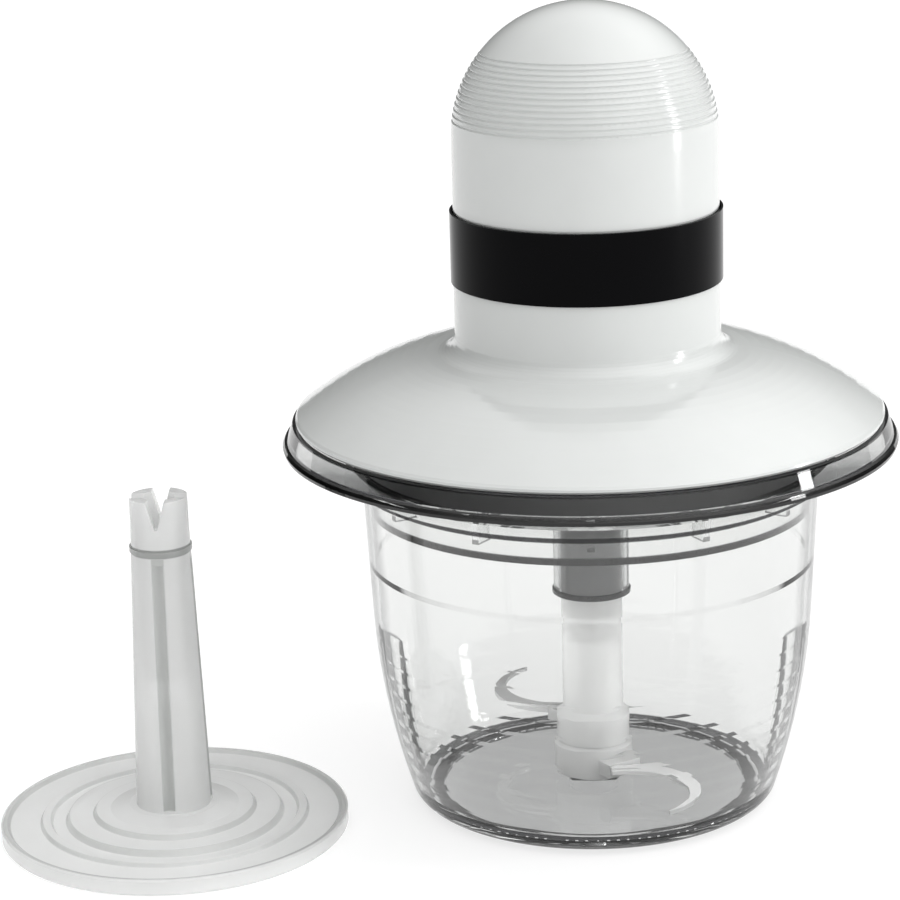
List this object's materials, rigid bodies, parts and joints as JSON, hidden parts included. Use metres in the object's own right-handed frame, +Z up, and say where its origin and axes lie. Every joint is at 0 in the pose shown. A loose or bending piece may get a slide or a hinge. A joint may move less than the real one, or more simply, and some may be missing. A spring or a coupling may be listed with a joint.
{
  "type": "food processor",
  "caption": "Small top-drive food processor: clear bowl and lid, white drive unit with a press-down dome and black band, bladed knife, and a separate beating disc.",
  "frame": {"origin": "centre of the bowl's foot, on the plane of the foot ring that stands on the worktop", "axes": "+Z up along the axis of the bowl, knife and drive unit; the front faces -Y; the beating disc stands to the left, towards -X"},
  "size_m": [0.2805, 0.1904, 0.2515],
  "materials": {
    "clear_plastic": "clear injection-moulded plastic, gloss",
    "milky_plastic": "milky translucent plastic, satin gloss",
    "white_plastic": "white gloss plastic",
    "black_gloss": "black gloss plastic",
    "dark_plastic": "dark grey matt plastic",
    "grey_plastic": "grey glass-filled plastic",
    "gear_plastic": "off-white acetal",
    "rubber_grey": "soft grey foot ring",
    "rubber_black": "soft black bush",
    "steel": "ground stainless steel",
    "bright_steel": "bright turned steel",
    "screw_steel": "zinc-plated steel",
    "lamination": "stacked electrical steel",
    "copper": "enamelled copper wire",
    "brass": "brass",
    "bronze": "sintered bronze",
    "carbon": "pressed carbon",
    "red_plastic": "red matt plastic"
  },
  "bodies": {
    "bowl_body": {"bowl": "clear_plastic", "bowl_foot_ring": "rubber_grey", "bowl_pin": "bright_steel"},
    "lid_body": {"lid": "clear_plastic"},
    "knife": {"knife_hub": "milky_plastic", "knife_blade_lower": "steel", "knife_blade_upper": "steel"},
    "drive_unit": {"drive_housing": "white_plastic", "drive_band": "black_gloss", "base_cover": "dark_plastic", "base_screws": "screw_steel", "output_bush": "bronze", "gearbox_housing": "grey_plastic", "ring_gear": "gear_plastic", "gearbox_screws": "screw_steel", "motor_frame": "grey_plastic", "motor_top_plate": "grey_plastic", "stator_core": "lamination", "field_coils": "copper", "lower_bearing": "bright_steel", "upper_bearing": "bright_steel", "brush_holders": "brass", "carbon_brushes": "carbon", "switch_body": "dark_plastic", "cord_bush": "rubber_black"},
    "dome": {"dome_cap": "white_plastic", "return_spring": "steel"},
    "plunger": {"switch_plunger": "red_plastic"},
    "rotor": {"motor_shaft": "bright_steel", "armature_core": "lamination", "armature_windings": "copper", "commutator": "copper", "cooling_fan": "dark_plastic", "sun_pinion": "bright_steel"},
    "output": {"planet_carrier": "steel", "planet_pins": "bright_steel", "output_dog": "dark_plastic"},
    "planet_a": {"planet_gear_a": "gear_plastic"},
    "planet_b": {"planet_gear_b": "gear_plastic"},
    "planet_c": {"planet_gear_c": "gear_plastic"},
    "disc": {"beating_disc": "milky_plastic"}
  },
  "joints": [
    {"name": "lid_lift", "type": "slide", "parent": "bowl_body", "child": "lid_body", "axis": [0, 0, 1], "range_m": [0, 0.12]},
    {"name": "drive_lift", "type": "slide", "parent": "lid_body", "child": "drive_unit", "axis": [0, 0, 1], "range_m": [0, 0.1]},
    {"name": "knife_spin", "type": "hinge", "parent": "bowl_body", "child": "knife", "pos_m": [0, 0, 0.0073], "axis": [0, 0, 1], "continuous": true},
    {"name": "dome_press", "type": "slide", "parent": "drive_unit", "child": "dome", "axis": [0, 0, -1], "range_m": [0, 0.0035], "stiffness_N_per_m": 900, "springref_m": -0.004, "deforming": ["return_spring"]},
    {"name": "plunger_press", "type": "slide", "parent": "drive_unit", "child": "plunger", "axis": [0, 0, -1], "range_m": [0, 0.0035]},
    {"name": "motor_spin", "type": "hinge", "parent": "drive_unit", "child": "rotor", "pos_m": [0, 0, 0.164], "axis": [0, 0, 1], "continuous": true},
    {"name": "output_spin", "type": "hinge", "parent": "drive_unit", "child": "output", "pos_m": [0, 0, 0.12], "axis": [0, 0, 1], "continuous": true},
    {"name": "planet_a_spin", "type": "hinge", "parent": "output", "child": "planet_a", "pos_m": [0.0135, 0, 0.1308], "axis": [0, 0, 1], "continuous": true},
    {"name": "planet_b_spin", "type": "hinge", "parent": "output", "child": "planet_b", "pos_m": [-0.00675, 0.01169, 0.1308], "axis": [0, 0, 1], "continuous": true},
    {"name": "planet_c_spin", "type": "hinge", "parent": "output", "child": "planet_c", "pos_m": [-0.00675, -0.01169, 0.1308], "axis": [0, 0, 1], "continuous": true},
    {"name": "disc_lift", "type": "slide", "parent": "bowl_body", "child": "disc", "axis": [0, 0, 1], "range_m": [0, 0.1]}
  ],
  "couplings": [
    {"joint": "output_spin", "follows": "motor_spin", "ratio": 0.22222},
    {"joint": "knife_spin", "follows": "motor_spin", "ratio": 0.22222},
    {"joint": "plunger_press", "follows": "dome_press", "ratio": 1},
    {"joint": "planet_a_spin", "follows": "motor_spin", "ratio": -0.62222},
    {"joint": "planet_b_spin", "follows": "motor_spin", "ratio": -0.62222},
    {"joint": "planet_c_spin", "follows": "motor_spin", "ratio": -0.62222}
  ]
}
